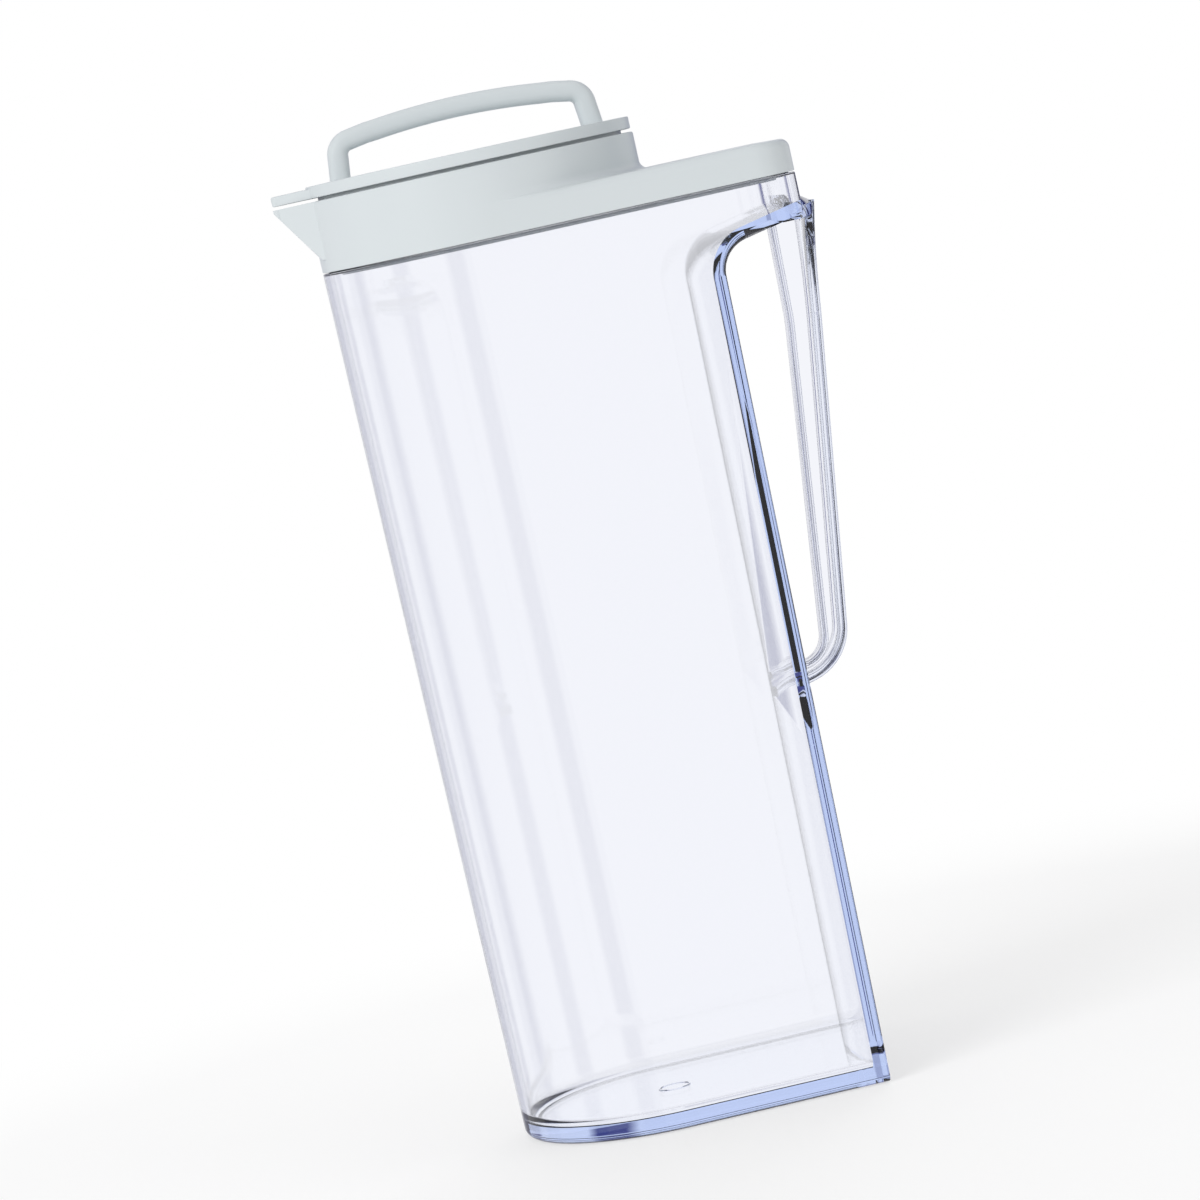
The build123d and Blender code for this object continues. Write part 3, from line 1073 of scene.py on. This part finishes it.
@dataclass
class ScrewCap:
    """The turning cap: disc with beak, bow, plug and plug seal."""

    plastic: MouldedFinish
    rubber: MouldedFinish
    thread: Thread = Thread(root=28.6, crest=30.15, low=254.4, start=0.0, sweep=100.0)
    beak_root: float = 40.1
    beak_half: float = 12.5
    beak_tip: float = 1.6
    beak_inset: float = 0.1
    edge: float = 0.3
    rim_low: float = 271.0
    rim_top: float = 272.3
    rim_wall: float = 1.5
    guide_outer: float = 42.9
    guide_inner: float = 41.6
    guide_low: float = 266.9
    bow_half: float = 34.6
    bow_rise: float = 3.1
    bow_crown: float = 285.15
    bow_foot: Point = (36.0, 269.5)
    bow_bend: float = 4.2
    bow_width: float = 5.5
    bow_t: float = 2.85
    bow_edge: float = 2.3
    bow_sunk: float = 270.5
    seal_inner: float = 26.45
    seal_outer: float = 29.8
    seal_low: float = 251.35
    seal_top: float = 252.8

    def plate(self) -> bmesh.types.BMesh:
        """Round disc with the beak that covers the spout.

        Returns:
            The closed solid.
        """
        nose = SIZE.spout_x + self.beak_inset + self.beak_tip
        lean = (self.beak_half - self.beak_tip) / (SIZE.cap_x - self.beak_root - nose)
        level = self.beak_half + lean * self.beak_root
        steep = 1.0 + lean ** 2
        meet_x = -(lean * level + math.sqrt(steep * SIZE.disc_r ** 2 - level ** 2)) / steep
        meet = math.degrees(math.atan2(level + lean * meet_x, meet_x))
        points = arc((SIZE.cap_x, 0.0), SIZE.disc_r, -meet, meet, 240)
        tip = arc((nose, 0.0), self.beak_tip, 90.0, 270.0, 8)
        first, last = Vector(points[-1]), Vector(tip[0])
        flank = [tuple(first.lerp(last, k / 6)) for k in range(1, 6)]
        points += flank + tip + mirrored(flank)
        low, high = SIZE.disc_low, SIZE.disc_top
        levels = [(0.45, low), (0.12, low + 0.1), (0.0, low + 0.45)]
        levels += [(i, high - j) for i, j in eased(0.5, 0.15)]
        return stack([ring(shrunk(points, inset), height) for inset, height in levels])

    def rim(self) -> bmesh.types.BMesh:
        """Low rim round the top of the disc.

        Returns:
            The ring, to be fused to the disc.
        """
        outer, inner, top = SIZE.disc_r, SIZE.disc_r - self.rim_wall, self.rim_top
        ease = eased(self.edge, 0.1)
        profile = [(outer, self.rim_low)] + [(outer - i, top - j) for i, j in ease]
        profile += [(inner + i, top - j) for i, j in reversed(ease)] + [(inner, self.rim_low)]
        return turned(profile)

    def guide(self) -> bmesh.types.BMesh:
        """Low ring under the disc that centres it in the collar.

        Returns:
            The ring, to be fused to the disc.
        """
        outer, inner, low, edge = self.guide_outer, self.guide_inner, self.guide_low, self.edge
        top = SIZE.disc_low + 0.3
        return turned([
            (outer, top), (outer, low + edge), (outer - edge, low),
            (inner + edge, low), (inner, low + edge), (inner, top),
        ])

    def bow(self) -> bmesh.types.BMesh:
        """The bowed bar over the disc.

        Returns:
            The closed bar, with its feet just in the disc.
        """
        half = self.bow_half
        radius = (half ** 2 + self.bow_rise ** 2) / (2 * self.bow_rise)
        low = self.bow_crown - radius
        along = [half * (k / 12 - 1.0) for k in range(25)]
        crown = [(SIZE.cap_x + x, low + math.sqrt(radius ** 2 - x ** 2)) for x in along]
        heading = (Vector(crown[1]) - Vector(crown[0])).normalized()
        ahead = tuple(Vector(crown[0]) + heading * 10.0)
        foot = (SIZE.cap_x - self.bow_foot[0], self.bow_foot[1])
        left = bent_path([foot, crown[0], ahead], [self.bow_bend], 0.5)[:-1]
        end = abs(left[-1][0] - SIZE.cap_x) - 1.0
        middle = [p for p in crown if abs(p[0] - SIZE.cap_x) < end]
        while left[-1][0] > middle[0][0] - 0.8:
            left.pop()
        right = [(2 * SIZE.cap_x - x, z) for x, z in reversed(left)]
        path = left + middle + right
        bar = strip(path, lambda height: self.bow_width, -self.bow_t, self.bow_t, self.bow_edge)
        return sliced(bar, Vector((0.0, 0.0, self.bow_sunk * MM)), Vector((0.0, 0.0, -1.0)))

    def seal(self) -> bmesh.types.BMesh:
        """Ring that presses on the seat of the port, with rounded outer edges.

        Returns:
            The closed ring.
        """
        inner, outer, low, top = self.seal_inner, self.seal_outer, self.seal_low, self.seal_top
        ease = eased(self.edge, 0.09)
        profile = [(inner, low)] + [(outer - i, low + j) for i, j in reversed(ease)]
        profile += [(outer - i, top - j) for i, j in ease] + [(inner, top)]
        return turned(profile)

    def build(self) -> None:
        """Make the pieces of the cap and dress them."""
        material = self.plastic.build()
        plate = combined(self.plate(), ("UNION", self.rim()), ("UNION", self.guide()))
        disc = finished("cap_plate", plate, Body.CAP, material)
        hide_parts("cap_disc")
        bow = finished("cap_bow_bar", self.bow(), Body.CAP, material)
        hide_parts("cap_bow")
        cup = combined(merged_copy("cap_plug"), *self.thread.build())
        plug = finished("cap_plug_cup", cup, Body.CAP, material)
        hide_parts("cap_plug")
        seal = finished("plug_seal_ring", self.seal(), Body.SEAL, self.rubber.build())
        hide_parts("plug_gasket")


@dataclass
class Camera:
    """The camera of the photograph, solved from its points, in the frame of the object."""

    place: tuple[float, float, float] = (-84.1 * MM, -1398.3 * MM, 263.6 * MM)
    yaw: float = 3.103
    pitch: float = -4.930
    roll: float = -12.531
    lens: float = 151.19
    sensor: float = 36.0

    def build(self) -> None:
        """Add the camera and make it the scene's own."""
        yaw, pitch, roll = (math.radians(a) for a in (self.yaw, self.pitch, self.roll))
        ahead = Vector((math.sin(yaw) * math.cos(pitch), math.cos(yaw) * math.cos(pitch), math.sin(pitch)))
        right = Vector((math.cos(yaw), -math.sin(yaw), 0.0))
        up = right.cross(ahead)
        rolled_right = right * math.cos(roll) + up * math.sin(roll)
        rolled_up = up * math.cos(roll) - right * math.sin(roll)
        turn = Matrix((rolled_right, rolled_up, -ahead)).transposed().to_4x4()
        data = bpy.data.cameras.new("photo_camera")
        data.lens = self.lens
        data.sensor_width = self.sensor
        data.clip_start = 0.05
        data.clip_end = 50.0
        camera = bpy.data.objects.new("photo_camera", data)
        camera.matrix_world = Matrix.Translation(self.place) @ turn
        bpy.context.scene.collection.objects.link(camera)
        bpy.context.scene.camera = camera


@dataclass
class Studio:
    """Plain pale floor, soft lamps and a white surround with dark gaps that draw the clear edges."""

    floor_radius: float = 0.6
    floor_fade: Point = (0.12, 0.42)
    floor_glow: float = 0.55
    floor_tone: Tone = (0.97, 0.97, 0.975)
    ambient: float = 0.56
    gap_count: int = 8
    gap_dark: float = 0.01
    gap_edge: Point = (0.10, 0.32)
    left_lift: float = 0.6
    left_from: Point = (-0.35, 0.25)
    straight_gap: float = 0.25
    straight_walls: float = 4.0
    steep_from: Point = (0.14, 0.3)
    high_bands: tuple[Point, ...] = ((0.45, 1.0), (0.52, 0.08), (0.66, 0.08), (0.76, 0.9))
    mirror_loss: float = 0.3
    through_tone: Tone = (0.93, 0.935, 0.975)
    gap_tone: Tone = (0.04, 0.05, 0.22)

    def bars(self, nodes: Nodes, x: bpy.types.NodeSocket, y: bpy.types.NodeSocket) -> bpy.types.NodeSocket:
        """Brightness of the surround by heading: white with upright dark gaps, softer to the left.

        Args:
            nodes: The tree to add to.
            x: Part of the heading to the right.
            y: Part of the heading away from the camera.

        Returns:
            The brightness, from the gaps' own up to 1.
        """
        azimuth = nodes.math("ARCTAN2", x, y)
        wave = nodes.math("COSINE", nodes.math("MULTIPLY", azimuth, float(self.gap_count)))
        stops = list(zip(self.gap_edge, (self.gap_dark, 1.0)))
        bars = nodes.ramp(nodes.mapped(wave, (-1.0, 1.0), (0.0, 1.0)), stops)
        left = nodes.mapped(nodes.math("SINE", azimuth), self.left_from, (self.left_lift, 0.0), smooth=True)
        return nodes.math("MAXIMUM", bars, left)

    def world(self) -> None:
        """Make the surround: white to the eye, with upright dark gaps for what shines through or off a piece.

        The gaps are weak where light comes straight through both walls, and where it comes from far below.
        """
        world = bpy.data.worlds.new("studio_surround")
        world.use_nodes = True
        bpy.context.scene.world = world
        nodes = Nodes(world.node_tree)
        heading = nodes.add("ShaderNodeTexCoord").outputs["Generated"]
        x, y, z = nodes.add("ShaderNodeSeparateXYZ", {0: heading}).outputs
        path = nodes.add("ShaderNodeLightPath").outputs
        glossy, through = path["Is Glossy Ray"], path["Is Transmission Ray"]
        off_skin = nodes.math("MULTIPLY", glossy, nodes.rest(through))
        walls = nodes.math("ABSOLUTE", nodes.math("SUBTRACT", path["Ray Depth"], self.straight_walls))
        softer = 1.0 - self.straight_gap
        straight = nodes.math("MULTIPLY", nodes.math("LESS_THAN", walls, 0.5), softer)
        gaps = nodes.math("MULTIPLY", nodes.rest(self.bars(nodes, x, y)), nodes.rest(straight))
        steep = nodes.mapped(nodes.math("MULTIPLY", z, -1.0), self.steep_from, (0.0, softer), smooth=True)
        bars = nodes.math("MAXIMUM", nodes.rest(gaps), steep)
        bands = nodes.ramp(nodes.math("MAXIMUM", z, 0.0), list(self.high_bands))
        loss = nodes.rest(nodes.math("MULTIPLY", off_skin, self.mirror_loss))
        seen = nodes.math("MULTIPLY", nodes.math("MULTIPLY", bars, bands), loss)
        clear = nodes.math("MAXIMUM", glossy, through)
        soft = nodes.math("MULTIPLY", nodes.rest(clear), self.ambient)
        level = nodes.math("ADD", soft, nodes.math("MULTIPLY", clear, seen))
        strength = nodes.math("MAXIMUM", level, path["Is Camera Ray"])
        tone = nodes.mixed(through, WHITE[:3], self.through_tone)
        light = nodes.add("ShaderNodeBackground", {"Color": tone, "Strength": strength}).outputs[0]
        shade = nodes.add(
            "ShaderNodeBackground",
            {"Color": (*self.gap_tone, 1.0), "Strength": nodes.math("MULTIPLY", clear, nodes.rest(seen))},
        ).outputs[0]
        back = nodes.add("ShaderNodeAddShader", {0: light, 1: shade}).outputs[0]
        nodes.add("ShaderNodeOutputWorld", {"Surface": back})

    def floor(self) -> None:
        """Make the floor, which keeps the soft shadow near the object and fades to white far away."""
        mesh = bmesh.new()
        bmesh.ops.create_circle(mesh, cap_ends=True, radius=self.floor_radius, segments=96)
        data = bpy.data.meshes.new("studio_floor")
        mesh.to_mesh(data)
        mesh.free()
        floor = bpy.data.objects.new("studio_floor", data)
        floor.location.z = -0.0002
        bpy.context.scene.collection.objects.link(floor)
        material = bpy.data.materials.new("pale_floor")
        material.use_nodes = True
        nodes = Nodes(material.node_tree)
        place = nodes.add("ShaderNodeTexCoord").outputs["Object"]
        reach = nodes.add("ShaderNodeVectorMath", {0: place}, operation="LENGTH").outputs["Value"]
        fade = nodes.mapped(reach, self.floor_fade, (0.0, 1.0), smooth=True)
        far = nodes.math("MAXIMUM", fade, self.floor_glow)
        matt = nodes.add("ShaderNodeBsdfDiffuse", {"Color": (*self.floor_tone, 1.0)}).outputs[0]
        glow = nodes.add("ShaderNodeEmission", {"Color": WHITE, "Strength": 1.0}).outputs[0]
        mixed = nodes.add("ShaderNodeMixShader", {0: far, 1: matt, 2: glow}).outputs[0]
        nodes.add("ShaderNodeOutputMaterial", {"Surface": mixed})
        dress(floor, material)
        floor.visible_transmission = False
        floor.visible_glossy = False

    def lamp(self, name: str, place: tuple[float, float, float], side: float, power: float) -> None:
        """Add a square soft lamp that faces the middle of the object.

        Args:
            name: Name of the lamp.
            place: Where it hangs, in metres.
            side: Side of its square, in metres.
            power: Its power in watts.
        """
        data = bpy.data.lights.new(name, "AREA")
        data.shape = "SQUARE"
        data.size = side
        data.energy = power
        lamp = bpy.data.objects.new(name, data)
        lamp.visible_glossy = False
        lamp.visible_transmission = False
        aim = Vector((0.0, 0.0, 0.15)) - Vector(place)
        lamp.matrix_world = Matrix.Translation(place) @ aim.to_track_quat("-Z", "Y").to_matrix().to_4x4()
        bpy.context.scene.collection.objects.link(lamp)

    def build(self) -> None:
        """Make the surround, the floor and the lamps."""
        self.world()
        self.floor()
        self.lamp("key_lamp", (-1.3, -1.2, 1.0), 1.2, 20.0)
        self.lamp("fill_lamp", (1.5, -1.0, 0.8), 1.2, 5.0)
        self.lamp("back_lamp", (0.3, 1.5, 1.2), 1.4, 10.0)


def main() -> None:
    """Build the camera, the studio and every piece of the pitcher."""
    logging.basicConfig(level=logging.INFO, format="%(name)s: %(message)s")
    bpy.context.scene.view_settings.view_transform = "Standard"
    Camera().build()
    Studio().build()
    pale = MouldedFinish("pale_grey_plastic", (0.645, 0.69, 0.705))
    silicone = MouldedFinish("pale_silicone", (0.78, 0.8, 0.8), roughness=0.45, subsurface=0.2)
    Jug().build()
    Lid(pale, silicone).build()
    ScrewCap(pale, silicone).build()


if __name__ == "__main__":
    main()
